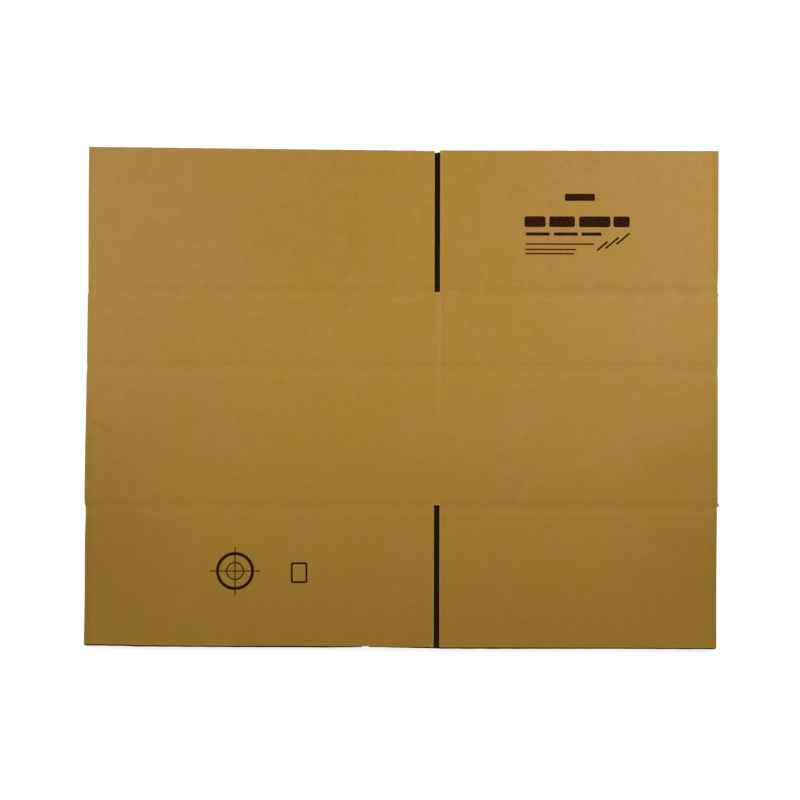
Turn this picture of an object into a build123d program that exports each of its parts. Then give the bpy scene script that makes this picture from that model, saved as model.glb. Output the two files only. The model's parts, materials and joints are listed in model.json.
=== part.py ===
from build123d import *
from math import floor
import os

# A shipping box of corrugated board, glued, slotted and knocked down flat.
# One long and one short panel face up. The other long and short panel lie behind them,
# joined at a rounded fold on the left and right and by a glued tab.
# Frame: +X runs across the panels, +Y to the top flaps, +Z up from the surface that it
# lies on. The origin is the middle of the outline, on that surface.

# Size of the box inside, once it is set up
inside_length = 500.0
inside_width = 400.0
inside_depth = 300.0

# Board
board_thickness = 4.0
liner_thickness = 0.3
medium_thickness = 0.3
flute_pitch = 7.95
open_flute_depth = 30.0
panel_allowance_share = 1.0
depth_allowance_share = 1.5
flap_allowance_share = 0.75

# Slots between neighbouring flaps, and how far they run past the crease into the panels
slot_width = 8.0
top_slot_overrun = 0.5
bottom_slot_overrun = 3.5

# Creases: shallow valleys pressed into both faces of the board
crease_half_width = 10.0
outer_crease_depth_share = 0.2
inner_crease_depth_share = 0.14
middle_crease_drop = 108.0
middle_crease_depth_share = 0.12
score_half_width = 5.0
score_depth_share = 0.14

# Panel folds and the glued joint behind
fold_loss_share = 0.57
mis_fold = 2.0
tab_width = 38.0
tab_thickness = 2.9
tab_clearance = 0.3
tab_setback = 6.0
tab_slant = 12.0
joint_gap = 6.0

# Flap hinges
hinge_gap = 0.3

# How far a cutter stands out of the face that it cuts
cut_overrun = 0.5

# Heights of the two layers
layer_gap = tab_thickness + tab_clearance
stack_height = 2 * board_thickness + layer_gap
middle_height = stack_height / 2
front_inner = stack_height - board_thickness
fold_radius = stack_height / 2
outer_crease_depth = outer_crease_depth_share * board_thickness
inner_crease_depth = inner_crease_depth_share * board_thickness
middle_crease_depth = middle_crease_depth_share * board_thickness
score_depth = score_depth_share * board_thickness

# Widths across the flat box
fold_loss = fold_loss_share * board_thickness
long_flat = inside_length + panel_allowance_share * board_thickness - fold_loss
short_flat = inside_width + panel_allowance_share * board_thickness - fold_loss
half_width = (long_flat + short_flat) / 2
straight_half = half_width - fold_radius
score_x = long_flat - half_width
joint_x = -score_x
flap_inset = slot_width / 2 - fold_loss

# Creases and free edges of each layer. A fold is never quite square, so the layer behind
# lies lower than the one in front.
crease_span = inside_depth + depth_allowance_share * board_thickness
flap_length = inside_width / 2 + flap_allowance_share * board_thickness
layer_shift = mis_fold / 2
front_top = crease_span / 2 + layer_shift
front_bottom = -crease_span / 2 + layer_shift
back_top = crease_span / 2 - layer_shift
back_bottom = -crease_span / 2 - layer_shift

UP = Vector(0, 0, 1)
DOWN = Vector(0, 0, -1)
ACROSS = Vector(1, 0, 0)
TOWARDS_TOP = Vector(0, 1, 0)


def valley(start, along, out, length, half_width_at_face, depth):
    """Press a straight V of the given depth into the face that out points away from."""
    flare = half_width_at_face * (1 + cut_overrun / depth)
    with BuildSketch(Plane(origin=start, x_dir=out.cross(along), z_dir=along)) as section:
        with BuildLine():
            Polyline((-flare, cut_overrun), (flare, cut_overrun), (0, -depth), close=True)
        make_face()
    extrude(section.sketch, amount=length, mode=Mode.SUBTRACT)


def crease(y, face, out, depth, left=-half_width, right=half_width):
    """A crease right across a layer, at height face."""
    start = (left - cut_overrun, y, face)
    valley(start, ACROSS, out, right - left + 2 * cut_overrun, crease_half_width, depth)


def plate(left, right, low, high, bottom):
    """One flat rectangle of board, with its underside at height bottom."""
    with BuildSketch(Plane.XY.offset(bottom)) as outline:
        with Locations(((left + right) / 2, (low + high) / 2)):
            Rectangle(right - left, high - low)
    extrude(outline.sketch, amount=board_thickness)


def notch(left, right, low, high, bottom, height):
    """Cut a square-ended slot through a layer."""
    with BuildSketch(Plane.XY.offset(bottom)) as outline:
        with Locations(((left + right) / 2, (low + high) / 2)):
            Rectangle(right - left, high - low)
    extrude(outline.sketch, amount=height, mode=Mode.SUBTRACT)


def open_flutes(left, right, edge, inward, bottom):
    """Open the flutes of a cut edge: a zigzag medium stands between the two liners."""
    rise = board_thickness - 2 * liner_thickness
    half_pitch = flute_pitch / 2
    slope = (rise**2 + half_pitch**2) ** 0.5
    half_base = half_pitch - medium_thickness * slope / rise / 2
    peak = half_base * rise / half_pitch
    roof = board_thickness - liner_thickness
    under_peak = [(-half_base, liner_thickness), (half_base, liner_thickness), (0, liner_thickness + peak)]
    over_dip = [(half_base, roof), (-half_base, roof), (0, roof - peak)]
    count = floor((right - left - flute_pitch) / flute_pitch)
    start = ((left + right) / 2, edge, bottom)
    with BuildSketch(Plane(origin=start, x_dir=UP.cross(inward), z_dir=inward)) as flutes:
        with GridLocations(flute_pitch, 0, count, 1):
            Polygon(*under_peak, align=None)
        with GridLocations(flute_pitch, 0, count + 1, 1):
            Polygon(*over_dip, align=None)
    extrude(flutes.sketch, amount=open_flute_depth, mode=Mode.SUBTRACT)


def layer(side, low, high):
    """One layer of panels, with half of each rounded fold at its ends.

    side is 1 for the layer in front and -1 for the layer behind.
    """
    face = middle_height + side * fold_radius
    inner_radius = fold_radius - board_thickness
    with BuildSketch(Plane.XZ.offset(-high)) as section:
        with BuildLine():
            outside = Line((-straight_half, face), (straight_half, face))
            JernArc(outside @ 1, (1, 0), fold_radius, -90 * side)
            Line((half_width, middle_height), (half_width - board_thickness, middle_height))
            right = JernArc(
                (half_width - board_thickness, middle_height), (0, side), inner_radius, 90 * side
            )
            inside = Line(right @ 1, (-straight_half, middle_height + side * inner_radius))
            left = JernArc(inside @ 1, (-1, 0), inner_radius, 90 * side)
            Line(left @ 1, (-half_width, middle_height))
            JernArc((-half_width, middle_height), (0, side), fold_radius, -90 * side)
        make_face()
    extrude(section.sketch, amount=high - low)


def fold_notches(side, top, bottom):
    """The halves of the slots that end on the left and right folds."""
    height = min(0, side) * middle_height + middle_height
    for end in (-1, 1):
        inner = end * (half_width - flap_inset)
        outer = end * (half_width + cut_overrun)
        left = min(inner, outer)
        right = max(inner, outer)
        notch(left, right, top - top_slot_overrun, top + cut_overrun, height, middle_height)
        notch(left, right, bottom - cut_overrun, bottom + bottom_slot_overrun, height, middle_height)


def glued_tab(low, high):
    """The tab steps up from the long panel's edge and lies on the inside of the short panel."""
    root_low = low + tab_setback
    root_high = high - tab_setback
    root = joint_x - joint_gap
    end = joint_x - tab_width
    with BuildSketch(Plane.XZ.offset(-root_high)) as step:
        with BuildLine():
            Polyline(
                (joint_x, 0),
                (root, board_thickness),
                (root, board_thickness + tab_thickness),
                (joint_x, board_thickness),
                close=True,
            )
        make_face()
    extrude(step.sketch, amount=root_high - root_low)
    with BuildSketch(Plane.XY.offset(board_thickness)) as strip:
        with BuildLine():
            Polyline(
                (root, root_low),
                (end, root_low + tab_slant),
                (end, root_high - tab_slant),
                (root, root_high),
                close=True,
            )
        make_face()
    extrude(strip.sketch, amount=tab_thickness)


# Sleeve: the four panels, the flaps behind and the glued tab, folded from one blank
panel_top = front_top - hinge_gap / 2
panel_bottom = front_bottom + hinge_gap / 2
back_long = (joint_x + slot_width / 2, half_width - flap_inset)
back_short = (flap_inset - half_width, joint_x - joint_gap)

with BuildPart() as sleeve:
    layer(1, panel_bottom, panel_top)
    layer(-1, back_bottom, back_top)
    fold_notches(1, front_top, front_bottom)
    fold_notches(-1, back_top, back_bottom)

    # The slots between the flaps in front run a little way into the panels
    slot_left = score_x - slot_width / 2
    slot_right = score_x + slot_width / 2
    notch(slot_left, slot_right, front_top - top_slot_overrun, front_top, front_inner, board_thickness)
    notch(
        slot_left, slot_right, front_bottom, front_bottom + bottom_slot_overrun, front_inner, board_thickness
    )

    # The panels behind are parted at the joint
    notch(joint_x - joint_gap, joint_x, back_bottom, back_top, 0, board_thickness)
    glued_tab(back_bottom, back_top)

    for left, right in (back_long, back_short):
        plate(left, right, back_top, back_top + flap_length, 0)
        plate(left, right, back_bottom - flap_length, back_bottom, 0)
    notch(
        joint_x, joint_x + slot_width / 2, back_top - top_slot_overrun, back_top, 0, board_thickness
    )
    notch(
        joint_x, joint_x + slot_width / 2, back_bottom, back_bottom + bottom_slot_overrun, 0, board_thickness
    )

    # Creases on the outside faces, and where the flaps bend on the inside faces too
    for y in (front_top, front_bottom):
        crease(y, stack_height, UP, outer_crease_depth)
        crease(y, front_inner, DOWN, inner_crease_depth)
    for y in (back_top, back_bottom):
        crease(y, 0, DOWN, outer_crease_depth)
        crease(y, board_thickness, UP, inner_crease_depth)
    crease(front_top - middle_crease_drop, stack_height, UP, middle_crease_depth)
    crease(back_top - middle_crease_drop, 0, DOWN, middle_crease_depth)

    # The corner between the two panels in front was creased but not folded
    score_start = (score_x, front_bottom, stack_height)
    valley(score_start, TOWARDS_TOP, UP, crease_span, score_half_width, score_depth)

    for left, right in (back_long, back_short):
        open_flutes(left, right, back_top + flap_length, -TOWARDS_TOP, 0)
        open_flutes(left, right, back_bottom - flap_length, TOWARDS_TOP, 0)

sleeve.part.label = "sleeve"

# The four flaps in front, each free to fold outwards on its crease
flaps_in_front = {
    "long_top_flap": (flap_inset - half_width, score_x - slot_width / 2, 1),
    "short_top_flap": (score_x + slot_width / 2, half_width - flap_inset, 1),
    "long_bottom_flap": (flap_inset - half_width, score_x - slot_width / 2, -1),
    "short_bottom_flap": (score_x + slot_width / 2, half_width - flap_inset, -1),
}

os.makedirs("parts", exist_ok=True)
export_step(sleeve.part, "parts/sleeve.step")

for name, (left, right, end) in flaps_in_front.items():
    crease_y = front_top if end > 0 else front_bottom
    root_y = crease_y + end * hinge_gap / 2
    free_y = crease_y + end * flap_length
    with BuildPart() as flap:
        plate(left, right, min(root_y, free_y), max(root_y, free_y), front_inner)
        crease(crease_y, stack_height, UP, outer_crease_depth, left, right)
        crease(crease_y, front_inner, DOWN, inner_crease_depth, left, right)
        open_flutes(left, right, free_y, TOWARDS_TOP * -end, front_inner)
    flap.part.label = name
    export_step(flap.part, f"parts/{name}.step")
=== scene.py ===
import json
from functools import partial, reduce
from math import atan, cos, pi, radians, sin

import bpy
import numpy as np
from mathutils import Matrix, Vector


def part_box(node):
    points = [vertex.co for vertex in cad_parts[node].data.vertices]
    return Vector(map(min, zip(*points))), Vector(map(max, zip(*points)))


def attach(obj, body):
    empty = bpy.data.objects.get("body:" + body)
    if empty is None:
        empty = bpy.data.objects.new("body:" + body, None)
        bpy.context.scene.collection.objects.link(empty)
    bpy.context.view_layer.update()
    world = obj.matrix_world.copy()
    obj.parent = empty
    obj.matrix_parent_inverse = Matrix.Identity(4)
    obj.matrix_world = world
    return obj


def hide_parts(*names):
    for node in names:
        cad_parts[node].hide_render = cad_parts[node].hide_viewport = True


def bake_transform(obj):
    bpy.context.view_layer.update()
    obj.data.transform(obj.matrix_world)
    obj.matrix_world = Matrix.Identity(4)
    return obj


bl_info = {
    "name": "Flattened Cardboard Box",
    "version": (1, 0, 0),
    "blender": (4, 5, 0),
    "location": "View3D > Sidebar > Flat Box",
    "description": "A corrugated shipping box, glued, slotted and knocked down flat",
    "category": "Object",
}

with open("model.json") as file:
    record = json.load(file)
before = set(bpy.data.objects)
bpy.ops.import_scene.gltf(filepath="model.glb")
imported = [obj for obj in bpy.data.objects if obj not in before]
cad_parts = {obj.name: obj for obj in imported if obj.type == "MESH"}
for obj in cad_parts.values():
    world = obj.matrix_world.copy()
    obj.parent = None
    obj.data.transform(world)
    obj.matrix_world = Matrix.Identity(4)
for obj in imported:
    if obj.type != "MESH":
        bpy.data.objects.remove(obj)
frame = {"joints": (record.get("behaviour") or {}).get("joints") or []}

# Places that the construction frame gives, in metres. +X runs across the panels, +Y to the
# top flaps and +Z up out of the front panels.
HINGES = {joint["child"]: joint["pos_m"] for joint in frame["joints"]}
FRONT_FLAPS = {name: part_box(name) for name in HINGES}
SLEEVE_LOW, SLEEVE_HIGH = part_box("sleeve")
STACK = SLEEVE_HIGH.z
BOARD = STACK - FRONT_FLAPS["long_top_flap"][0].z
HALF_WIDTH = SLEEVE_HIGH.x
FOLD_RADIUS = STACK / 2
STRAIGHT_HALF = HALF_WIDTH - FOLD_RADIUS
SLOT_LEFT = FRONT_FLAPS["long_top_flap"][1].x
SLOT_RIGHT = FRONT_FLAPS["short_top_flap"][0].x
HALF_SLOT = (SLOT_RIGHT - SLOT_LEFT) / 2
SCORE_X = (SLOT_LEFT + SLOT_RIGHT) / 2
JOINT_X = -SCORE_X
TOP_CREASE = HINGES["long_top_flap"][1]
BOTTOM_CREASE = HINGES["long_bottom_flap"][1]
TOP_EDGE = FRONT_FLAPS["long_top_flap"][1].y
BOTTOM_EDGE = FRONT_FLAPS["long_bottom_flap"][0].y
LAYER_SHIFT = SLEEVE_LOW.y - BOTTOM_EDGE
FLAP_INSET = HALF_WIDTH - FRONT_FLAPS["short_top_flap"][1].x


def setting(kind, **traits):
    """A maker of one kind of setting, from its name, default and description."""
    return lambda name, default, description, **limits: kind(
        name=name, description=description, default=default, **traits, **limits)


metres = setting(bpy.props.FloatProperty, unit="LENGTH")
angle = setting(bpy.props.FloatProperty, subtype="ANGLE")
portion = setting(bpy.props.FloatProperty, subtype="FACTOR")
paint = setting(bpy.props.FloatVectorProperty, subtype="COLOR", size=3, min=0, max=1)
count = setting(bpy.props.IntProperty)


class BoxSizes(bpy.types.PropertyGroup):
    """Sizes of the board, its creases and its cut edges."""

    grid: metres("Grid", 0.008, "Distance between mesh points on a panel", min=0.002)
    liner: metres("Liner", 0.0003, "Thickness of each liner")
    medium: metres("Medium", 0.0003, "Thickness of the fluted paper")
    pitch: metres("Flute Pitch", 0.00795, "Distance from flute to flute")
    steps: count("Steps", 12, "Mesh steps in one flute", min=6)
    wander: portion("Wander", 0.55, "How far the flutes lean out of step")
    crease_reach: metres("Crease Reach", 0.014, "Half width of the valley along a flap crease")
    crease_depth: metres("Crease Depth", 0.00056, "Depth of a flap crease on the outside")
    bead_reach: metres("Bead Reach", 0.005, "Half width of the pressed line inside a crease")
    bead_depth: metres("Bead Depth", 0.0005, "Depth of the pressed line inside a crease")
    middle_drop: metres("Middle Crease Drop", 0.108, "How far it lies below the top crease")
    middle_depth: metres("Middle Crease Depth", 0.00058, "Depth of the middle crease")
    score_reach: metres("Score Reach", 0.006, "Half width of the unfolded corner score")
    score_depth: metres("Score Depth", 0.0004, "Depth of the score at its upper end")
    score_offset: metres("Score Offset", 0.0037, "How far the score lies beside the slots")
    overrun: metres("Slot Overrun", 0.0012, "How far the bottom slots run into the panels")
    fold_slot: angle("Fold Slot", radians(38), "Half angle of a fold that the slots take away")
    fold_bulge: metres("Fold Bulge", 0.0022, "How far the right fold swells at the bottom crease")
    joint_gap: metres("Joint Gap", 0.006, "Gap between the panels at the glued joint")
    tab_width: metres("Tab Width", 0.038, "Reach of the glued tab under the short panel")
    tab_thickness: metres("Tab Thickness", 0.0029, "Thickness of the crushed tab")
    tab_setback: metres("Tab Setback", 0.006, "How far the tab stops short of the creases")
    tab_slant: metres("Tab Slant", 0.012, "How much the tab narrows at each end")
    top_flare: metres("Top Flare", 0.0048, "Rise of the long top flap's outer corner")
    bottom_flare: metres("Bottom Flare", 0.0035, "Rise of the long bottom flap's outer corner")
    right_flare: metres("Right Flare", 0.0010, "Rise of the short bottom flap's outer corner")
    top_short: metres("Top Shortfall", 0.0008, "How much the long top flap is cut short")
    slot_shift: metres("Slot Shift", 0.0008, "How far the slots lie right of their corner")
    bend: metres("Bend", 0.0045, "Width of board that bends when a flap folds")
    ragged: metres("Ragged", 0.00022, "Unevenness of the sawn and slotted edges")


class BoxColours(bpy.types.PropertyGroup):
    """Colours of the papers and the ink."""

    outside: paint("Outside", (0.407, 0.224, 0.031), "Kraft liner on the outside")
    outside_pink: paint("Outside, Paler", (0.413, 0.239, 0.066), "Kraft liner that drifts to pink")
    # The inside is set darker than the outside so that the slots, which show it, look near black:
    # partly painted shade
    inside: paint("Inside", (0.215, 0.100, 0.020), "Recycled liner on the inside")
    fluting: paint("Fluting", (0.235, 0.133, 0.045), "Fluted medium between the liners")
    torn: paint("Cut Edge", (0.40, 0.245, 0.085), "Paper fibre where the board is cut")
    ink: paint("Ink", (0.017, 0.003, 0.0), "Dark brown ink of the printed marks")


class StageSettings(bpy.types.PropertyGroup):
    """Camera, floor and lights."""

    camera_height: metres("Camera Height", 3.0, "Height of the camera above the front panels")
    field: metres("Field", 1.1444, "Width of what the camera sees at the front panels")
    centre: bpy.props.FloatVectorProperty(
        name="Centre", description="Point of the front panels at the middle of the view",
        size=2, default=(-0.0021, -0.0004), subtype="XYZ_LENGTH")
    roll: angle("Roll", radians(0.13), "Turn of the camera about its own axis")
    key_height: angle("Key Elevation", radians(35), "Angle of the side lights above the floor")
    key_turn: angle("Key Turn", radians(70), "Angle of the side lights away from the top edge")
    dome: portion("Dome", 0.10, "Share of the light that comes evenly from all round")


# Printed marks in front, each a plain shape. They stand in for printing that isn't copied.
# Level blocks: height up the box, half height, then each one's middle and half width
INK_ROWS = (
    (0.2901, 0.0052, ((0.2546, 0.0215),)),
    (0.2551, 0.0078, ((0.1905, 0.0152), (0.2292, 0.0185), (0.2760, 0.0225), (0.3142, 0.0118))),
    (0.2375, 0.0024, ((0.1945, 0.0170), (0.2345, 0.0170), (0.2715, 0.0145))),
    (0.2232, 0.0011, ((0.2260, 0.0490),)),
    (0.2154, 0.0011, ((0.2131, 0.0365),)),
    (0.2094, 0.0011, ((0.2117, 0.0350),)),
    (-0.2456, 0.0009, ((-0.2375, 0.0360),)),
    (-0.2456, 0.0345, ((-0.2375, 0.0009),)),
)
# Strokes that rise to the right: middle, half length
INK_STROKES = (((0.2870, 0.2205), 0.0100), ((0.3010, 0.2250), 0.0125), ((0.3165, 0.2310), 0.0125))
# Rings and frames: middle, half size, corner radius, line width
INK_LINES = (
    ((-0.2375, -0.2456), (0.0250, 0.0250), 0.0250, 0.0046),
    ((-0.2375, -0.2456), (0.0120, 0.0120), 0.0120, 0.0020),
    ((-0.1459, -0.2478), (0.0105, 0.0135), 0.0020, 0.0030),
)
# A wrinkle and scuffs in front: middle, half length, turn in degrees, width, share of soil; for
# the wrinkle that share is painted shade
DENTS = (
    ((-0.4340, -0.0362), 0.018, -32, 0.0065, 1.8), ((-0.0945, 0.1405), 0.062, 3, 0.0016, 0.0),
    ((0.2470, -0.0750), 0.020, 12, 0.0018, 0.3), ((-0.3080, -0.0300), 0.006, 70, 0.0010, 0.4),
)

# How far each pressed crease strays from its straight line, at places across the box. This
# and the next tables give how far in tenths of a millimetre.
CREASE_PLACES = (-0.45, -0.381, -0.267, -0.152, -0.028, 0.120, 0.234, 0.363, 0.45)
CREASE_STRAY = {
    "top": (18, 11, -9, -17, -36, -27, -19, -13, -9),
    "middle": (0, -4, -12, -15, -18, -19, -29, -31, -33),
    "bottom": (-10, -10, -10, -12, -15, -30, -34, -38, -39),
}
# How far each side of the box strays to +X, at heights up it: the folds aren't quite square
LEFT_STRAY = (
    (-0.357, -37), (-0.286, -26), (-0.203, -25), (-0.165, -13), (-0.143, -24), (-0.0715, -15),
    (0.0, -1), (0.086, 12), (0.172, 20), (0.286, 20), (0.357, 26),
)
RIGHT_STRAY = ((-0.357, 12), (-0.240, 9), (-0.165, 18), (0.150, 18), (0.164, 7), (0.190, 18),
               (0.357, 18))
# How far the bottom edges are drawn up from their place, at places across the box
BOTTOM_PLACES = (-0.44, -0.40, -0.37, -0.31, -0.25, -0.19, -0.10, -0.04, 0.035, 0.067, 0.14, 0.23,
                 0.31, 0.40, 0.44)
BOTTOM_FRONT = (9, 10, 0, 2, 3, 12, 13, 14, 14, 9, 9, 6, 4, 0, -3)
BOTTOM_BEHIND = (0, -1, -9, -6, -5, -1, 4, 16, 6, 0, -2, -2, -2, -7, -8)
# How far the outer side of a flap in front stands out past its place in the frame
SIDE_SPREAD = {"long_top_flap": 0.0003, "short_top_flap": 0.0011}

# Height of the board's slow unevenness, and how far in from a cut edge its wear is reckoned
UNEVENNESS = 0.00016
WEAR_REACH = 0.008
# Faces that meet at a steeper angle than this keep a sharp edge between them
SHARP_ANGLE = radians(35)
# What kraft liner and fluting paper share: a faint sheen, and the height of their grain
SHEEN = 0.06
GRAIN_HEIGHT = 0.00006
# What the sockets of the node groups hold, where that isn't a plain number
SOCKET_KINDS = {
    "Place": "Vector", "Middle": "Vector", "Half": "Vector", "Colour": "Color",
    "Other Colour": "Color", "Columns": "Int", "Material": "Material", "Geometry": "Geometry",
}


def sizes():
    return bpy.context.scene.flat_box_sizes


def colours():
    return bpy.context.scene.flat_box_colours


def new_object(name, data):
    """An object with that data, linked to the scene."""
    made = bpy.data.objects.new(name, data)
    bpy.context.scene.collection.objects.link(made)
    return made


def spaced(start, end, step, *exact):
    """Even places from start to end that also meet each exact place between them."""
    low, high = min(start, end), max(start, end)
    marks = [low] + sorted(p for p in set(exact) if low + 1e-5 < p < high - 1e-5) + [high]
    runs = [np.linspace(a, b, max(1, round((b - a) / step)) + 1)[:-1]
            for a, b in zip(marks, marks[1:])]
    places = np.append(np.concatenate(runs), high)
    return places if start < end else places[::-1]


def around(middle, reach, count):
    """Exact places for a valley, on both sides of its middle."""
    return [middle + reach * k / count for k in range(-count, count + 1)]


def dip(distance, reach):
    """Smooth valley section: 1 at the middle, 0 from reach outwards."""
    return 0.5 + 0.5 * np.cos(pi * np.clip(np.abs(distance) / reach, 0, 1))


def strayed(at, places, far):
    """How far something strays, in metres, from a table in tenths of a millimetre."""
    return np.interp(at, places, far) / 10000


def unevenness(x, y, seed):
    """Slow ups and downs of a sheet that was stacked and handled."""
    turn = np.random.default_rng(seed).uniform(0, 2 * pi, 5)
    waves = ((0.34, 11, 4), (0.26, 5, -17), (0.18, 23, 9), (0.12, -14, 31), (0.10, 41, 27))
    return UNEVENNESS * sum(
        size * np.sin(across * x + along * y + start)
        for (size, across, along), start in zip(waves, turn))


def out_of_square(places):
    """The sides of the box lean and the flaps flare a little, as it was folded."""
    s = sizes()
    x, y = places[..., 0].copy(), places[..., 1].copy()
    share = np.clip((SLOT_LEFT - x) / (SLOT_LEFT + HALF_WIDTH), 0, 1)
    other = np.clip((x - SLOT_RIGHT) / (HALF_WIDTH - SLOT_RIGHT), 0, 1)
    over = np.clip((y - TOP_CREASE) / (TOP_EDGE - TOP_CREASE), 0, None)
    under = np.clip((BOTTOM_CREASE - y) / (BOTTOM_CREASE - BOTTOM_EDGE), 0, None)
    left, right = (strayed(y, *zip(*stray)) for stray in (LEFT_STRAY, RIGHT_STRAY))
    places[..., 0] = x + share * left + other * right + (1 - share) * (1 - other) * s.slot_shift
    rise = share * (s.top_flare * over + s.bottom_flare * under) + other * s.right_flare * under
    places[..., 1] = y + rise - s.top_short * over * (x < SCORE_X)
    return places


def shell(outer, inner, edge, keep=None, depth=(0.0, 1.0)):
    """A closed sheet between two grids of points, as arrays for join_sheets.

    edge is each point's distance from a cut edge, keep says which cells are there, and depth
    how deep each side lies in the board, from 0 on the outside to 1 on the inside.
    """
    n, m = outer.shape[:2]
    keep = np.ones((n - 1, m - 1), bool) if keep is None else keep
    number = np.arange(n * m).reshape(n, m)
    i, j = np.nonzero(keep)
    top = np.stack([number[i, j], number[i + 1, j], number[i + 1, j + 1], number[i, j + 1]], 1)
    faces = [top, top[:, ::-1] + n * m]
    padded = np.pad(keep, 1)
    for side, (di, dj) in enumerate(((0, -1), (1, 0), (0, 1), (-1, 0))):
        open_side = ~padded[i + 1 + di, j + 1 + dj]
        p, q = top[open_side, side], top[open_side, (side + 1) % 4]
        faces.append(np.stack([q, p, p + n * m, q + n * m], 1))
    points = np.concatenate([outer.reshape(-1, 3), inner.reshape(-1, 3)])
    edge = np.minimum(np.broadcast_to(edge, (n, m)), WEAR_REACH).ravel()
    values = np.stack([np.repeat(np.array(depth, float), n * m), np.tile(edge, 2)], 1)
    return points, np.concatenate(faces), values


def join_sheets(name, sheets, material):
    """One mesh object from several closed sheets, with its rest places and depths."""
    points, faces, values, start = [], [], [], 0
    for sheet_points, sheet_faces, sheet_values in sheets:
        used, numbers = np.unique(sheet_faces, return_inverse=True)
        points.append(sheet_points[used])
        values.append(sheet_values[used])
        faces.append(numbers.reshape(-1, 4) + start)
        start += len(used)
    mesh = bpy.data.meshes.new(name)
    mesh.from_pydata(np.concatenate(points).tolist(), [], np.concatenate(faces).tolist())
    for label, column in zip(("depth", "edge"), np.concatenate(values).T.astype(np.float32)):
        mesh.attributes.new(label, "FLOAT", "POINT").data.foreach_set("value", column.copy())
    return dress(new_object(name, mesh), material)


def places_of(mesh):
    """The places of a mesh's points, as one flat array."""
    places = np.zeros(len(mesh.vertices) * 3, np.float32)
    mesh.vertices.foreach_get("co", places)
    return places


def dress(piece, material):
    """Keep the rest places for the finish, set smooth shading and give the material."""
    mesh = piece.data
    rest = mesh.attributes.new("rest", "FLOAT_VECTOR", "POINT")
    rest.data.foreach_set("vector", places_of(mesh))
    mesh.shade_smooth()
    mesh.set_sharp_from_angle(angle=SHARP_ANGLE)
    mesh.materials.clear()
    mesh.materials.append(material)
    return piece


def panel_stations():
    """Places round the flat sleeve, from the short panel's edge behind to the tab's end.

    Each is x, z, outward x, outward z, thickness, share of the way behind, and zone: 0 for
    the panels behind, 1 for a fold, 2 for the panels in front and 3 for the tab.
    """
    s = sizes()
    root, mid_behind, mid_front = JOINT_X - s.joint_gap, BOARD / 2, STACK - BOARD / 2
    radius = FOLD_RADIUS - BOARD / 2
    turns = spaced(-pi / 2, pi / 2, radians(12), -s.fold_slot, s.fold_slot)
    score = around(SCORE_X + s.score_offset, s.score_reach, 4)

    def behind(places):
        return [(x, mid_behind, 0, -1, BOARD, 1.0, 0) for x in places]

    def fold(side):
        return [(side * (STRAIGHT_HALF + radius * cos(turn)),
                 FOLD_RADIUS + radius * sin(turn), side * cos(turn), sin(turn),
                 BOARD, 0.5 - turn / pi, 1) for turn in turns[::-side]]

    rows = behind(spaced(root, -STRAIGHT_HALF, s.grid)[:-1]) + fold(-1)
    for x in spaced(-STRAIGHT_HALF, STRAIGHT_HALF, s.grid, SLOT_LEFT, SLOT_RIGHT, *score)[1:-1]:
        rows.append((x, mid_front, 0, 1, BOARD, 0.0, 2))
    rows += fold(1) + behind(spaced(STRAIGHT_HALF, JOINT_X, s.grid, JOINT_X + HALF_SLOT)[1:])
    # The crushed tab steps up on to the inside of the short panel
    rise = BOARD + s.tab_thickness / 2 - mid_behind
    for t in np.linspace(0, 1, 9)[1:]:
        slope = atan(6 * t * (1 - t) * rise / s.joint_gap)
        rows.append((JOINT_X - s.joint_gap * t, mid_behind + rise * t * t * (3 - 2 * t),
                     -sin(slope), -cos(slope),
                     BOARD + (s.tab_thickness - BOARD) * t, 1.0, 3))
    for x in spaced(root, JOINT_X - s.tab_width, s.grid)[1:]:
        rows.append((x, mid_behind + rise, 0, -1, s.tab_thickness, 1.0, 3))
    return np.array(rows, float)


def outer_creases(x, y):
    """How far the three creases press into the outside, where each strays a little."""
    s = sizes()
    lines = ((TOP_CREASE, s.crease_depth, "top"), (BOTTOM_CREASE, s.crease_depth, "bottom"),
             (TOP_CREASE - s.middle_drop, s.middle_depth, "middle"))
    pressed = sum(
        depth * dip(y - line - strayed(x, CREASE_PLACES, CREASE_STRAY[name]), s.crease_reach)
        for line, depth, name in lines)
    return pressed * np.interp(x, (-0.1, 0.1), (0.85, 1.1))


def panel_relief(x, y, front):
    """How far creases and score press into the outer and the inner side."""
    s = sizes()
    top, bottom = y - TOP_CREASE, y - BOTTOM_CREASE
    fade = np.clip(y / 0.15, 0, 1) * np.clip(-top / 0.006, 0, 1)
    score = s.score_depth * dip(x - SCORE_X - s.score_offset, s.score_reach)
    outside = outer_creases(x, y) + front * fade * score
    inside = s.bead_depth * (dip(top, s.bead_reach) + dip(bottom, s.bead_reach))
    return outside, inside


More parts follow.
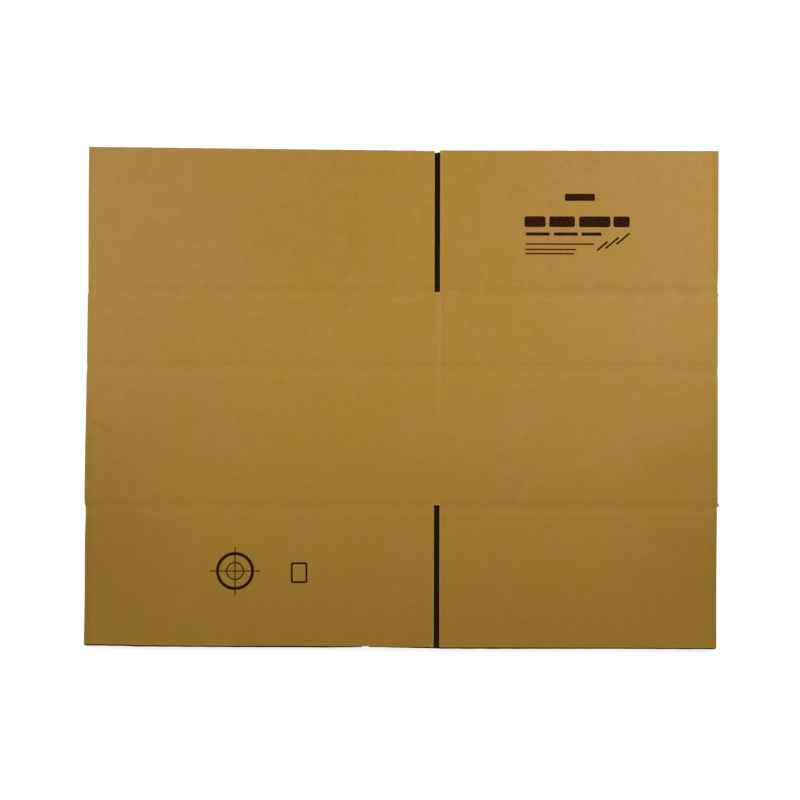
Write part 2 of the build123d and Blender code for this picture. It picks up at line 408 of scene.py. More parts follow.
def panels():
    """The four panels, their rounded folds and the glued tab, as one closed sheet."""
    s = sizes()
    stations = panel_stations()
    x, z, across, up, thick, behind, zone = (column[:, None] for column in stations.T)
    low, high = BOTTOM_CREASE, TOP_CREASE
    exact = around(high, s.crease_reach, 8) + around(low, s.crease_reach, 8)
    exact += around(high - s.middle_drop, s.crease_reach, 6)
    exact += [low + s.overrun, high - s.tab_setback, low + s.tab_setback]
    rows = spaced(low, high, s.grid, *exact)[None, :]
    # The tab narrows towards its free side
    mid_row, reach = (high + low) / 2, (high - low) / 2 - s.tab_setback
    along = (JOINT_X - s.joint_gap - x) / (s.tab_width - s.joint_gap)
    along = np.clip(along, 0, 1) * (zone == 3)
    y = mid_row + (rows - mid_row) * (1 - along * s.tab_slant / reach)
    # The right fold swells where the creases end on it
    swollen = dip(y - low - s.overrun - 0.001, 0.005) + 0.6 * dip(y - high + 0.001, 0.005)
    swollen = s.fold_bulge * swollen * np.clip(across, 0, 1)
    outside, inside = panel_relief(x, y, zone == 2)
    ripple = unevenness(x, y, 3) * dip(np.abs(z - FOLD_RADIUS) - BOARD, BOARD) * (zone < 3)
    grids = [
        out_of_square(np.stack(np.broadcast_arrays(
            x + across * away + swollen, y + LAYER_SHIFT * behind, z + up * away), -1))
        for away in (thick / 2 - outside + ripple, inside - thick / 2 + ripple)]
    # Cells of the mesh that the slots take away, and those beside the tab
    mid_x, mid_y = (x[1:] + x[:-1]) / 2, (rows[:, 1:] + rows[:, :-1]) / 2
    cell_zone = np.maximum(zone[1:], zone[:-1])
    turn = np.arctan2(up, np.abs(across))
    in_slot = (cell_zone == 2) & (mid_x > SLOT_LEFT) & (mid_x < SLOT_RIGHT)
    in_slot |= (cell_zone == 1) & (np.abs(turn[1:] + turn[:-1]) / 2 < s.fold_slot)
    by_joint = (mid_x < JOINT_X + HALF_SLOT) & (mid_x > JOINT_X)
    in_slot |= (cell_zone == 0) & (behind[1:] == 1) & by_joint
    beside_tab = (mid_y > high - s.tab_setback) | (mid_y < low + s.tab_setback)
    keep = ~(in_slot & (mid_y < low + s.overrun)) & ~((cell_zone == 3) & beside_tab)
    from_slot = np.maximum(np.maximum(SLOT_LEFT - x, x - SLOT_RIGHT), 0)
    from_end = np.maximum(np.minimum(high - y, y - low - s.overrun), 0)
    edge = np.where(zone == 2, np.hypot(from_slot, from_end), WEAR_REACH)
    return shell(*grids, edge, keep)


class Flap:
    """One flap: its limits, and which way its outside faces."""

    def __init__(self, left, right, crease, free, front):
        self.left, self.right = left, right
        self.crease, self.free = crease, free
        self.length = abs(free - crease)
        self.facing = 1 if front else -1
        self.end = 1 if free > crease else -1
        self.middle = STACK - BOARD / 2 if front else BOARD / 2

    def grid(self, start, end, exact=()):
        """Mesh places between two distances from the crease, and each place's distance."""
        s = sizes()
        columns = spaced(self.left, self.right, s.grid)[::self.facing]
        rows = np.sort(self.crease + self.end * spaced(start, end, s.grid, *exact))
        x, y = np.meshgrid(columns, rows, indexing="ij")
        return x, y, np.abs(y - self.crease)

    def lift(self, x, y):
        """The sheet's own unevenness, which differs in front and behind."""
        return self.facing * unevenness(x, y, 3 if self.facing > 0 else 4)

    def place(self, x, y, distance, away):
        """Points at a height away from the board's middle, with the sheet's own unevenness."""
        s = sizes()
        past = np.clip(np.abs(x) - STRAIGHT_HALF, 0, FOLD_RADIUS * 0.98)
        drop = FOLD_RADIUS - np.sqrt(FOLD_RADIUS**2 - past**2)
        drop = drop * (1 - np.clip(distance / s.crease_reach, 0, 1)) ** 2
        z = self.middle + self.facing * (away - drop) + self.lift(x, y)
        rough = np.sin(x * 431 + 7) + np.sin(x * 967 + 14) + np.sin(x * 1733 + 21)
        y = y + self.end * s.ragged * rough / 3 * (distance > self.length - 1e-4)
        return out_of_square(np.stack([x, y + self.drawn(x, distance), z], -1))

    def drawn(self, x, distance):
        """How far a bottom flap is drawn up towards its free edge."""
        up = strayed(x, BOTTOM_PLACES, BOTTOM_FRONT if self.facing > 0 else BOTTOM_BEHIND)
        return up * distance / self.length * (self.end < 0)

    def edge(self, x, distance):
        """Distance from the nearest cut side or free edge."""
        sides = np.minimum(x - self.left, self.right - x)
        return np.minimum(sides, self.length - distance)

    def pressed(self, x, y):
        """Depth of the crease on the outside; behind, it lies lower by the layers' shift."""
        return outer_creases(x, y if self.facing > 0 else y - LAYER_SHIFT)

    def crease_strip(self):
        """Solid board from the crease to where the flutes are whole again."""
        s = sizes()
        exact = [s.bend * k / 12 for k in range(13)]
        exact += [s.crease_reach * k / 12 for k in range(5, 12)]
        x, y, distance = self.grid(0, s.crease_reach, exact)
        outer = BOARD / 2 - self.pressed(x, y)
        inner = -BOARD / 2 + s.bead_depth * dip(distance, s.bead_reach)
        return shell(self.place(x, y, distance, outer), self.place(x, y, distance, inner),
                     self.edge(x, distance))

    def liner(self, outside):
        """One liner, from the crease strip to the free edge."""
        s = sizes()
        x, y, distance = self.grid(s.crease_reach, self.length)
        high, low, share = BOARD / 2, BOARD / 2 - s.liner, s.liner / BOARD
        if outside:
            dent = self.pressed(x, y)
            faces, depth = (high - dent, low - dent), (0.0, share)
        else:
            faces, depth = (-low, -high), (1 - share, 1.0)
        places = [self.place(x, y, distance, away) for away in faces]
        return shell(*places, self.edge(x, distance), depth=depth)

    def fluting(self, name):
        """The fluted medium between the liners, grown by Geometry Nodes and put in place."""
        s = sizes()
        length = self.length - s.crease_reach
        seed = round(1000 * abs(self.left + self.crease))
        piece = grow_fluting(name, self.right - self.left, length, seed)
        middle = self.crease + self.end * (s.crease_reach + length / 2)
        mesh = piece.data
        mesh.transform(Matrix.Translation(((self.left + self.right) / 2, middle, self.middle)))
        places = places_of(mesh).reshape(-1, 3).astype(float)
        places[:, 1] += self.drawn(places[:, 0], np.abs(places[:, 1] - self.crease))
        places[:, 2] += self.lift(places[:, 0], places[:, 1])
        mesh.vertices.foreach_set("co", out_of_square(places).astype(np.float32).ravel())
        mesh.update()
        return piece


def front_flap(name):
    """A flap in front, where the frame has it."""
    low, high = FRONT_FLAPS[name]
    crease = HINGES[name][1]
    free = high.y if high.y - crease > crease - low.y else low.y
    spread = SIDE_SPREAD.get(name, 0.0)
    if low.x < JOINT_X:
        return Flap(low.x - spread, high.x, crease, free, True)
    return Flap(low.x, high.x + spread, crease, free, True)


def back_flaps():
    """The four flaps behind, which belong to the sleeve."""
    sides = ((JOINT_X + HALF_SLOT, HALF_WIDTH - FLAP_INSET),
             (FLAP_INSET - HALF_WIDTH, JOINT_X - sizes().joint_gap))
    ends = ((TOP_CREASE, TOP_EDGE), (BOTTOM_CREASE, BOTTOM_EDGE))
    return [Flap(left, right, crease + LAYER_SHIFT, free + LAYER_SHIFT, False)
            for left, right in sides for crease, free in ends]


def node(tree, kind, inputs=None, **settings):
    """The outputs of a new node with its settings, and with its inputs linked or set."""
    made = tree.nodes.new(kind)
    for key, value in settings.items():
        setattr(made, key, value)
    for key, value in (inputs or {}).items():
        if isinstance(value, bpy.types.NodeSocket):
            link(value, made.inputs[key])
        else:
            made.inputs[key].default_value = value
    return made.outputs


def link(output, socket):
    """Link an output to an input of the same tree."""
    output.id_data.links.new(output, socket)


def tree_of(*values):
    """The tree that the first output among values belongs to."""
    return next(value.id_data for value in values if isinstance(value, bpy.types.NodeSocket))


def calc(operation, *values, **settings):
    """The output of a math node."""
    return node(tree_of(*values), "ShaderNodeMath", dict(enumerate(values)),
                operation=operation, **settings)[0]


def chained(operation):
    """A function that takes two or more values through math nodes of one kind, in order."""
    return lambda *values: reduce(partial(calc, operation), values)


add, subtract, multiply, divide = map(chained, ("ADD", "SUBTRACT", "MULTIPLY", "DIVIDE"))
least, most, below, above = map(chained, ("MINIMUM", "MAXIMUM", "LESS_THAN", "GREATER_THAN"))


def ramp(value, low, high, low_out=0.0, high_out=1.0):
    """A smooth step of value from low to high."""
    return node(value.id_data, "ShaderNodeMapRange", {
        "Value": value, "From Min": low, "From Max": high, "To Min": low_out, "To Max": high_out},
        interpolation_type="SMOOTHSTEP")[0]


def off_line(value, line, start, end):
    """A smooth step by how far a value is from a line."""
    return ramp(calc("ABSOLUTE", subtract(value, line)), start, end)


def swing(pattern, strength):
    """A pattern from 0 to 1, made to swing about 0."""
    return multiply(subtract(pattern, 0.5), strength)


def mix(share, first, second, blend="MIX"):
    """The colour between two colours."""
    return node(tree_of(share, first, second), "ShaderNodeMix", {0: share, 6: first, 7: second},
                data_type="RGBA", blend_type=blend)[2]


def axes(vector):
    """The X, Y and Z of a vector."""
    return node(vector.id_data, "ShaderNodeSeparateXYZ", {"Vector": vector})


def stretched(place, stretch):
    """A place with a scale for each axis."""
    return node(place.id_data, "ShaderNodeMapping", {"Vector": place, "Scale": stretch})[0]


def noise(place, scale, detail=2.0, stretch=(1, 1, 1)):
    """Noise of the rest place, from 0 to 1."""
    return node(place.id_data, "ShaderNodeTexNoise", {
        "Vector": stretched(place, stretch), "Scale": scale, "Detail": detail,
        "Roughness": 0.55})[0]


def group(name, inputs, outputs, kind="Shader"):
    """A new node group: a list of what it is given, and its output sockets."""
    tree = bpy.data.node_groups.new(name, f"{kind}NodeTree")
    for side, labels in (("INPUT", inputs), ("OUTPUT", outputs)):
        for label in labels:
            held = SOCKET_KINDS.get(label, "Float")
            tree.interface.new_socket(name=label, in_out=side, socket_type=f"NodeSocket{held}")
    given = tree.nodes.new("NodeGroupInput").outputs[:len(inputs)]
    return given, tree.nodes.new("NodeGroupOutput").inputs


def placed(name, inputs):
    """One use of a shader node group."""
    return node(inputs["Place"].id_data, "ShaderNodeGroup", inputs,
                node_tree=bpy.data.node_groups[name])


def block(place, middle, half, corner, turn=0):
    """Distance from a block with that middle, half size, corner radius and turn in degrees."""
    return placed("Ink Block", {
        "Place": place, "Middle": (*middle, 0), "Half": (*half, 0), "Corner": corner,
        "Turn": -radians(turn)})[0]


def fluting_tree():
    """Geometry Nodes tree: a corrugated sheet of paper, closed all round."""
    if "Fluting" in bpy.data.node_groups:
        return bpy.data.node_groups["Fluting"]
    (width, length, pitch, rise, paper, wander, columns, seed, material), out = group(
        "Fluting", ("Width", "Length", "Pitch", "Rise", "Paper", "Wander", "Columns", "Seed",
                    "Material"), ("Geometry",), kind="Geometry")
    tree = out[0].id_data
    sheet = node(tree, "GeometryNodeMeshGrid", {
        "Size X": width, "Size Y": length, "Vertices X": columns, "Vertices Y": 2})["Mesh"]
    x = axes(node(tree, "GeometryNodeInputPosition")[0])["X"]
    uneven = node(tree, "ShaderNodeTexNoise", {
        "W": add(x, seed), "Scale": 45.0, "Detail": 1.0}, noise_dimensions="1D")[0]
    turn = add(multiply(divide(x, pitch), 2 * pi), multiply(wander, uneven))
    height = multiply(subtract(rise, paper), 0.5)
    wave = subtract(multiply(calc("SINE", turn), height), multiply(paper, 0.5))
    waved = node(tree, "GeometryNodeSetPosition", {
        "Geometry": sheet, "Offset": node(tree, "ShaderNodeCombineXYZ", {"Z": wave})[0]})[0]
    thick = node(tree, "GeometryNodeExtrudeMesh", {
        "Mesh": waved, "Offset Scale": paper, "Individual": False})["Mesh"]
    under = node(tree, "GeometryNodeFlipFaces", {"Mesh": waved})[0]
    joined = tree.nodes.new("GeometryNodeJoinGeometry")
    link(under, joined.inputs[0])
    link(thick, joined.inputs[0])
    merged = node(tree, "GeometryNodeMergeByDistance", {
        "Geometry": joined.outputs[0], "Distance": 0.00001})[0]
    real = node(tree, "GeometryNodeRealizeInstances", {"Geometry": merged})[0]
    link(node(tree, "GeometryNodeSetMaterial", {
        "Geometry": real, "Material": material})[0], out[0])
    return tree


def grow_fluting(name, width, length, seed):
    """A plain mesh object of fluted medium about the origin."""
    s = sizes()
    tree = fluting_tree()
    piece = new_object(name, bpy.data.meshes.new(name))
    modifier = piece.modifiers.new("Fluting", "NODES")
    modifier.node_group = tree
    values = {
        "Width": width, "Length": length, "Pitch": s.pitch, "Rise": BOARD - 2 * s.liner,
        "Paper": s.medium, "Wander": s.wander, "Columns": round(width / s.pitch * s.steps) + 1,
        "Seed": float(seed), "Material": fluting_paper(),
    }
    for item in tree.interface.items_tree:
        if item.item_type == "SOCKET" and item.in_out == "INPUT":
            modifier[item.identifier] = values[item.name]
    grown = piece.evaluated_get(bpy.context.evaluated_depsgraph_get())
    mesh = bpy.data.meshes.new_from_object(grown)
    piece.modifiers.clear()
    piece.data = mesh
    if not mesh.polygons:
        raise RuntimeError(f"{name} has no fluting")
    return piece


def kraft_fibre_group():
    """Pulp of kraft paper: clouds, rosy patches, mottle, fibres along X, specks and flecks."""
    (place, colour, other, drift, mottle, pulp), out = group(
        "Kraft Fibre", ("Place", "Colour", "Other Colour", "Drift", "Mottle", "Fibre"),
        ("Colour", "Height"))
    tree = place.id_data
    cloud = noise(place, 9.0)
    blot = noise(place, 55.0, 3.0, (1, 1.3, 1))
    curl = noise(place, 170.0, 2.0, (0.7, 1.3, 1))
    grain = noise(place, 420.0, 3.0, (0.45, 1.4, 1))
    hair = noise(place, 1150.0, 2.0, (0.22, 1.6, 1))
    drift = calc("ADD", add(drift, swing(blot, 0.5)), swing(cloud, 0.7), use_clamp=True)
    base = mix(drift, colour, other)
    rosy = ramp(noise(place, 17.0, 3.0), 0.45, 0.60, 0.0, 0.75)
    base = mix(rosy, base, (1.03, 0.975, 1.22, 1), "MULTIPLY")
    level = 1.0
    for pattern, share, strength in (
        (blot, 1.0, mottle), (curl, 1.3, mottle), (grain, 2.0, pulp), (hair, 1.0, pulp),
    ):
        level = add(level, multiply(swing(pattern, share), strength))
    # Dark specks, and pale and dark flecks, each in a few of the cells
    cells = node(tree, "ShaderNodeTexVoronoi", {
        "Vector": stretched(place, (0.55, 1, 1)), "Scale": 165.0})
    chance = node(tree, "ShaderNodeSeparateColor", {"Color": cells["Color"]})
    for reach, channel, low, high, strength in (
        (0.13, "Red", 0.965, 0.98, -0.30), (0.22, "Green", 0.70, 0.95, 0.10),
        (0.22, "Blue", 0.70, 0.95, -0.11),
    ):
        mark = multiply(ramp(cells["Distance"], reach, 0.05), ramp(chance[channel], low, high))
        level = add(level, multiply(mark, strength))
    grey = node(tree, "ShaderNodeCombineColor", dict.fromkeys(("Red", "Green", "Blue"), level))
    link(mix(1.0, base, grey[0], "MULTIPLY"), out["Colour"])
    link(add(multiply(grain, 0.6), multiply(hair, 0.4)), out["Height"])


def board_section_group():
    """Cut board: where an edge shows, and where its wavy medium and liners run on it."""
    (place, depth, pitch, liner, medium), out = group(
        "Board Section", ("Place", "Depth", "Pitch", "Liner", "Medium"), ("Cut", "Paper"))
    inner = least(depth, subtract(1.0, depth))
    turn = multiply(divide(axes(place)["X"], pitch), 2 * pi)
    wave = calc("MULTIPLY_ADD", calc("SINE", turn), 0.4, 0.5)
    off = calc("ABSOLUTE", subtract(depth, wave))
    link(above(inner, multiply(liner, 0.25)), out["Cut"])
    link(most(below(off, multiply(medium, 0.9)), below(inner, liner)), out["Paper"])


def ink_block_group():
    """Signed distance from a turned block in the XY plane, with rounded corners."""
    (place, middle, half, turn, corner), out = group(
        "Ink Block", ("Place", "Middle", "Half", "Turn", "Corner"), ("Distance",))
    tree = place.id_data
    away = node(tree, "ShaderNodeVectorMath", {0: place, 1: middle}, operation="SUBTRACT")[0]
    turned = axes(node(tree, "ShaderNodeVectorRotate", {"Vector": away, "Angle": turn},
                       rotation_type="Z_AXIS")[0])
    reach = axes(half)
    sides = [subtract(calc("ABSOLUTE", turned[axis]), subtract(reach[axis], corner))
             for axis in "XY"]
    outside = [most(side, 0.0) for side in sides]
    far = calc("SQRT", add(*(multiply(side, side) for side in outside)))
    near = least(most(*sides), 0.0)
    link(subtract(add(far, near), corner), out["Distance"])


def printing_group():
    """All the printed marks, as one mask with slightly broken edges and thin patches."""
    (place,), out = group("Printing", ("Place",), ("Ink",))
    blocks = [((x, y), (half, high), 0) for y, high, row in INK_ROWS for x, half in row]
    blocks += [(middle, (half, 0.0014), 40) for middle, half in INK_STROKES]
    marks = [block(place, middle, half, min(half) * 0.4, turn) for middle, half, turn in blocks]
    for middle, half, corner, width in INK_LINES:
        outline = calc("ABSOLUTE", block(place, middle, half, corner))
        marks.append(subtract(outline, width / 2))
    broken = add(least(*marks), swing(noise(place, 1900.0), 0.0007))
    worn = ramp(noise(place, 700.0, 3.0, (0.5, 1, 1)), 0.28, 0.48, 0.90, 1.0)
    in_front = above(axes(place)["Z"], FOLD_RADIUS)
    link(multiply(ramp(broken, 0.0002, -0.0003), worn, in_front), out["Ink"])


def handling_and_painted_light_group():
    """Rubbed lines, dents and painted light: crease lines with painted shade and highlight, the
    corner score, shaded folds, a wrinkle and scuffs.
    """
    s = sizes()
    (place, edge), out = group("Handling", ("Place", "Edge"), ("Rub", "Soil", "Dent"))
    x, y, z = axes(place)
    in_front = above(z, FOLD_RADIUS)
    patchy = ramp(noise(place, 60.0, 3.0), 0.35, 0.65, 0.4, 1.0)
    # The score is rubbed pale near the top crease and fades below; the dark line beside it is
    # painted shade on the score's far flank
    score = SCORE_X + s.score_offset
    fade = multiply(ramp(y, -0.09, 0.12), below(y, TOP_CREASE), in_front)
    rubs_and_highlights = [multiply(off_line(x, score, 0.0050, 0.0010), fade, patchy, 0.75)]
    soils_and_shades = [multiply(off_line(x, score + 0.0058, 0.0022, 0.0004), fade)]
    # Cut edges are rubbed pale, partly worn and partly a painted highlight where they round over,
    # and the folds get painted shade
    worn = ramp(noise(place, 300.0), 0.35, 0.6, 0.45, 1.0)
    rubs_and_highlights.append(multiply(ramp(edge, 0.0021, 0.0003), worn))
    soils_and_shades.append(multiply(off_line(x, 0.0, HALF_WIDTH - 0.012, HALF_WIDTH), 2.0))
    # Bare fibre at the ends of the slots
    for lip_y in (TOP_CREASE - 0.0010, BOTTOM_CREASE + s.overrun + 0.0010):
        lip = block(place, (SCORE_X + s.slot_shift + 0.0006, lip_y), (0.0032, 0.0008), 0.0004)
        rubs_and_highlights.append(multiply(ramp(lip, 0.0007, -0.0001), in_front, 1.5))
    # Each crease gets a painted shade line above it and a painted highlight below, as light from
    # the top gives its valley
    for crease in (TOP_CREASE, BOTTOM_CREASE, TOP_CREASE - s.middle_drop):
        soils_and_shades.append(multiply(off_line(y, crease + 0.0062, 0.0035, 0.0005), patchy))
        rubs_and_highlights.append(multiply(off_line(y, crease - 0.0095, 0.0035, 0.0005), patchy, 0.14))
    dents = []
    # The wrinkle's darkening is painted shade in its fold; the scuffs' is soil
    for middle, half, turn, width, shade_and_soil in DENTS:
        dents.append(ramp(block(place, middle, (half, 0.0004), 0.0002, turn), width, 0.0))
        soils_and_shades.append(multiply(dents[-1], shade_and_soil))
    link(most(*rubs_and_highlights), out["Rub"])
    link(most(*soils_and_shades), out["Soil"])
    link(multiply(most(*dents), in_front), out["Dent"])


def new_material(name):
    """A material, its Principled shader and its piece's rest places, after the groups."""
    if "Handling" not in bpy.data.node_groups:
        for build in (kraft_fibre_group, board_section_group, ink_block_group, printing_group,
                      handling_and_painted_light_group):
            build()
    material = bpy.data.materials.new(name)
    tree = emptied(material)
    shader = tree.nodes.new("ShaderNodeBsdfPrincipled")
    shader.inputs["Specular IOR Level"].default_value = SHEEN
    node(tree, "ShaderNodeOutputMaterial", {0: shader.outputs[0]})
    return material, shader, attribute(tree, "rest", "Vector")


def emptied(owner):
    """The node tree of a material or world, with nothing in it."""
    owner.use_nodes = True
    owner.node_tree.nodes.clear()
    return owner.node_tree


def attribute(tree, name, output="Fac"):
    return node(tree, "ShaderNodeAttribute", attribute_name=name)[output]


def roughen(shader, height, strength):
    """Give a shader the paper's relief."""
    bump = node(height.id_data, "ShaderNodeBump", {
        "Height": height, "Strength": strength, "Distance": GRAIN_HEIGHT})
    link(bump[0], shader.inputs["Normal"])


def fibre(rest, colour, other, drift, mottle, strength):
    """The kraft paper's colour and height in one material."""
    return placed("Kraft Fibre", {
        "Place": rest, "Colour": (*colour, 1), "Other Colour": (*other, 1), "Drift": drift,
        "Mottle": mottle, "Fibre": strength})


def kraft_board():
    """Outside and inside liners of the board, its printed marks, its cut edges, and painted shade
    and highlights.
    """
    name = "kraft_board"
    if name in bpy.data.materials:
        return bpy.data.materials[name]
    s, c = sizes(), colours()
    material, shader, rest = new_material(name)
    depth, edge = (attribute(rest.id_data, label) for label in ("depth", "edge"))
    x, y, _ = axes(rest)
    # Towards the sides and the top the colour turns paler and pinker
    side = calc("MULTIPLY_ADD", off_line(x, -0.03, 0.05, 0.42), 0.65, 0.23)
    drift = subtract(multiply(side, ramp(y, -0.34, 0.30)), 0.08)
    outside = fibre(rest, c.outside, c.outside_pink, drift, 0.105, 0.10)
    inside = fibre(rest, c.inside, [v * 1.15 for v in c.inside], 0.4, 0.12, 0.22)
    handled_and_painted = placed("Handling", {"Place": rest, "Edge": edge})
    ink = multiply(placed("Printing", {"Place": rest})["Ink"], below(depth, 0.5))
    section = placed("Board Section", {
        "Place": rest, "Depth": depth, "Pitch": s.pitch, "Liner": s.liner / BOARD,
        "Medium": s.medium / BOARD})
    # Painted shade: near the folds the board is darker below the middle, where the light falls off
    lower = multiply(ramp(y, 0.02, -0.11), ramp(y, -0.37, -0.23))
    painted_shade = multiply(off_line(x, 0.0, 0.27, 0.45), lower, 0.10)
    # Painted light and shade: the panels are a little paler than the flaps, and the long top flap
    # is darker in its middle
    panel = multiply(ramp(y, -0.14, -0.06), ramp(y, 0.17, 0.12))
    pale = multiply(panel, off_line(x, 0.06, 0.44, 0.25), 0.04)
    dull = multiply(off_line(x, -0.12, 0.15, 0.03), ramp(y, 0.16, 0.20), 0.04)
    colour = outside["Colour"]
    # The rubbed lines also hold painted highlights, the soil also painted shade, and the next
    # three tints are painted shade and light
    for share, tint in (
        (multiply(handled_and_painted["Rub"], 0.42), (0.50, 0.32, 0.12)),
        (multiply(handled_and_painted["Soil"], 0.06), (0.1, 0.05, 0.015)),
        (painted_shade, (0.03, 0.008, 0.0)), (pale, (0.62, 0.42, 0.11)), (dull, (0.02, 0.01, 0.0)),
        (ink, c.ink),
    ):
        colour = mix(share, colour, (*tint, 1))
    colour = mix(above(depth, 0.5), colour, inside["Colour"])
    # Open flute hollows on the cut edges get painted shade: the fluting colour darkened
    painted_hollow_shade = [v * 0.32 for v in c.fluting]
    colour = mix(section["Cut"], colour, mix(section["Paper"], (*painted_hollow_shade, 1), (*c.torn, 1)))
    link(colour, shader.inputs["Base Color"])
    rough = subtract(0.86, multiply(handled_and_painted["Rub"], 0.12), multiply(ink, 0.16))
    link(rough, shader.inputs["Roughness"])
    # Flutes telegraph faintly through the liner
    flutes = multiply(calc("SINE", multiply(x, 2 * pi / s.pitch)), 0.05)
    height = add(multiply(outside["Height"], 0.9), flutes)
    roughen(shader, subtract(height, multiply(handled_and_painted["Dent"], 4.0)), 0.35)
    return material


def fluting_paper():
    """The medium between the liners: thin, dull, recycled paper."""
    name = "fluting_paper"
    if name in bpy.data.materials:
        return bpy.data.materials[name]
    paper = colours().fluting
    material, shader, rest = new_material(name)
    pulp = fibre(rest, paper, [v * 0.8 for v in paper], 0.4, 0.15, 0.25)
    link(pulp["Colour"], shader.inputs["Base Color"])
    shader.inputs["Roughness"].default_value = 0.92
    roughen(shader, pulp["Height"], 0.4)
    return material


class FLATBOX_OT_panels(bpy.types.Operator):
    """Add the four panels with their folds, creases and glued tab"""

    bl_idname = "flatbox.panels"
    bl_label = "Add Panels"

    def execute(self, context):
        piece = join_sheets("panels", [panels()], kraft_board())
        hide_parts("sleeve")
        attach(piece, "sleeve")
        return {"FINISHED"}


class FLATBOX_OT_front_flaps(bpy.types.Operator):
    """Add the liners and creases of the four flaps in front"""

    bl_idname = "flatbox.front_flaps"
    bl_label = "Add Front Flaps"

    def execute(self, context):
        for name in FRONT_FLAPS:
            flap = front_flap(name)
            for side, slot in ((True, "kraft_liner"), (False, "kraft_inside")):
                label = f"{name}_{'outer' if side else 'inner'}_liner"
                piece = join_sheets(label, [flap.liner(side)], kraft_board())
                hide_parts(name)
                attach(piece, name)
            strip = join_sheets(f"{name}_crease", [flap.crease_strip()], kraft_board())
            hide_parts(name)
            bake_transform(strip)
        return {"FINISHED"}


class FLATBOX_OT_back_flaps(bpy.types.Operator):
    """Add the liners and creases of the four flaps behind"""

    bl_idname = "flatbox.back_flaps"
    bl_label = "Add Back Flaps"

    def execute(self, context):
        flaps = back_flaps()
        for label, slot, sheets in (
            ("back_flap_creases", "kraft_liner", [flap.crease_strip() for flap in flaps]),
            ("back_flap_outer_liners", "kraft_liner", [flap.liner(True) for flap in flaps]),
            ("back_flap_inner_liners", "kraft_inside", [flap.liner(False) for flap in flaps]),
        ):
            piece = join_sheets(label, sheets, kraft_board())
            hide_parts("sleeve")
            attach(piece, "sleeve")
        return {"FINISHED"}


class FLATBOX_OT_fluting(bpy.types.Operator):
    """Add the fluted medium of all eight flaps"""

    bl_idname = "flatbox.fluting"
    bl_label = "Add Fluting"

    def execute(self, context):
        flaps = [(f"{name}_fluting", front_flap(name), name) for name in FRONT_FLAPS]
        flaps += [(f"back_flap_fluting_{number}", flap, "sleeve")
                  for number, flap in enumerate(back_flaps(), 1)]
        for label, flap, name in flaps:
            piece = dress(flap.fluting(label), fluting_paper())
            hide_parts(name)
            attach(piece, name)
        return {"FINISHED"}


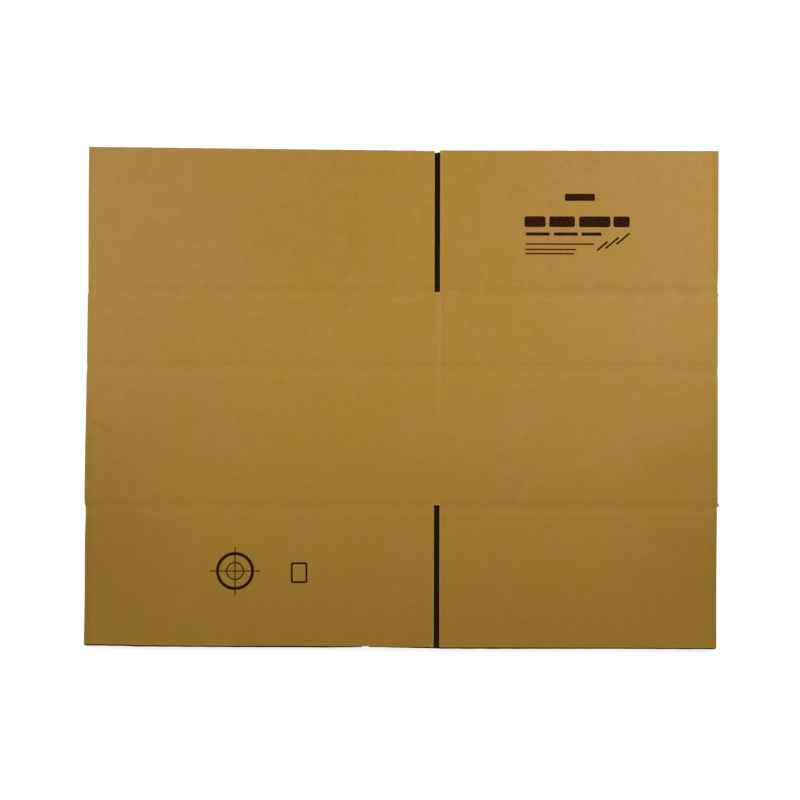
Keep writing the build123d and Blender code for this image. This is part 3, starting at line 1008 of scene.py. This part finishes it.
class FLATBOX_OT_stage(bpy.types.Operator):
    """Add the floor, the lights, the camera and the white surroundings"""

    bl_idname = "flatbox.stage"
    bl_label = "Add Stage"

    def execute(self, context):
        self.floor()
        self.lights()
        self.camera()
        self.world()
        context.scene.view_settings.view_transform = "Standard"
        return {"FINISHED"}

    def shown(self, path, unseen, seen):
        """A shader of its own for what the camera sees, also in a reflection or through glass."""
        share = most(*(path[f"Is {kind} Ray"] for kind in ("Camera", "Glossy", "Transmission")))
        return node(share.id_data, "ShaderNodeMixShader", {0: share, 1: unseen[0], 2: seen[0]})[0]

    def floor(self):
        """A pale floor that shows as white and still takes the object's shadow."""
        material = bpy.data.materials.new("white_floor")
        tree = emptied(material)
        path = node(tree, "ShaderNodeLightPath")
        tone = mix(path["Is Camera Ray"], (0.75, 0.75, 0.75, 1), (0.32, 0.32, 0.32, 1))
        paper = node(tree, "ShaderNodeBsdfDiffuse", {"Color": tone})
        glow = node(tree, "ShaderNodeEmission", {"Color": (1, 1, 1, 1), "Strength": 0.86})
        none = node(tree, "ShaderNodeEmission", {"Strength": 0.0})
        both = node(tree, "ShaderNodeAddShader", {0: paper[0], 1: self.shown(path, none, glow)})
        node(tree, "ShaderNodeOutputMaterial", {0: both[0]})
        mesh = bpy.data.meshes.new("floor")
        reach, level = 30.0, -0.0002
        corners = [(x * reach, y * reach, level) for x, y in ((-1, -1), (1, -1), (1, 1), (-1, 1))]
        mesh.from_pydata(corners, [], [(0, 1, 2, 3)])
        mesh.materials.append(material)
        new_object("floor", mesh)

    def lights(self):
        """Two wide soft lights low at the sides, and two spots that fade towards the bottom."""
        stage = bpy.context.scene.flat_box_stage
        height, turn = stage.key_height, stage.key_turn
        for name, side, key, spot in (("right", 1, 34.1, 258.0), ("left", -1, 30.7, 175.0)):
            way = Vector((side * cos(height) * sin(turn), cos(height) * cos(turn), sin(height)))
            self.light(f"{name}_key", "AREA", way * 2.6, Vector(), shape="DISK", size=0.5,
                       energy=key)
            self.light(f"{name}_spot", "SPOT", way * 4.0, Vector((side * 0.5, 0.3, 0)),
                       spot_size=radians(20), spot_blend=1.0, shadow_soft_size=0.25,
                       energy=spot)

    def light(self, name, kind, place, target, **traits):
        """One light, aimed from its place at a target."""
        light = new_object(name, bpy.data.lights.new(name, kind))
        for key, value in traits.items():
            setattr(light.data, key, value)
        light.location = place
        light.rotation_euler = (target - place).to_track_quat("-Z", "Y").to_euler()

    def camera(self):
        stage = bpy.context.scene.flat_box_stage
        data = bpy.data.cameras.new("camera")
        data.lens = data.sensor_width * stage.camera_height / stage.field
        data.clip_start, data.clip_end = 0.1, 100.0
        camera = new_object("camera", data)
        camera.location = (*stage.centre, STACK + stage.camera_height)
        camera.rotation_euler = (0, 0, stage.roll)
        bpy.context.scene.camera = camera

    def world(self):
        """Dim and even round the object, and white where the camera looks past the floor."""
        world = bpy.data.worlds.new("studio")
        tree = emptied(world)
        path = node(tree, "ShaderNodeLightPath")
        even, white = (
            node(tree, "ShaderNodeBackground", {"Color": (1, 1, 1, 1), "Strength": strength})
            for strength in (bpy.context.scene.flat_box_stage.dome, 1.0))
        node(tree, "ShaderNodeOutputWorld", {0: self.shown(path, even, white)})
        bpy.context.scene.world = world


class FLATBOX_PT_sidebar(bpy.types.Panel):
    """Lists the pieces of the box and its settings"""

    bl_label = "Flat Box"
    bl_idname = "FLATBOX_PT_sidebar"
    bl_space_type = "VIEW_3D"
    bl_region_type = "UI"
    bl_category = "Flat Box"

    def draw(self, context):
        column = self.layout.column(align=True)
        for operator in OPERATORS:
            column.operator(operator.bl_idname)
        for settings in SETTINGS:
            held = getattr(context.scene, settings)
            box = self.layout.box().column()
            for key in held.bl_rna.properties.keys():
                if key not in ("rna_type", "name"):
                    box.prop(held, key)


SETTINGS = {
    "flat_box_sizes": BoxSizes, "flat_box_colours": BoxColours, "flat_box_stage": StageSettings}
OPERATORS = (FLATBOX_OT_panels, FLATBOX_OT_front_flaps, FLATBOX_OT_back_flaps,
             FLATBOX_OT_fluting, FLATBOX_OT_stage)


def register():
    for owner in (*SETTINGS.values(), *OPERATORS, FLATBOX_PT_sidebar):
        bpy.utils.register_class(owner)
    for name, owner in SETTINGS.items():
        setattr(bpy.types.Scene, name, bpy.props.PointerProperty(type=owner))


def unregister():
    for name in SETTINGS:
        delattr(bpy.types.Scene, name)
    for owner in (FLATBOX_PT_sidebar, *OPERATORS[::-1], *list(SETTINGS.values())[::-1]):
        bpy.utils.unregister_class(owner)


def main():
    for name in ("Cube", "Light", "Camera"):
        if name in bpy.data.objects:
            bpy.data.objects.remove(bpy.data.objects[name])
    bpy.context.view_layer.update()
    register()
    bpy.ops.flatbox.panels()
    bpy.ops.flatbox.front_flaps()
    bpy.ops.flatbox.back_flaps()
    bpy.ops.flatbox.fluting()
    bpy.ops.flatbox.stage()
    bpy.context.view_layer.update()


if __name__ == "__main__":
    main()
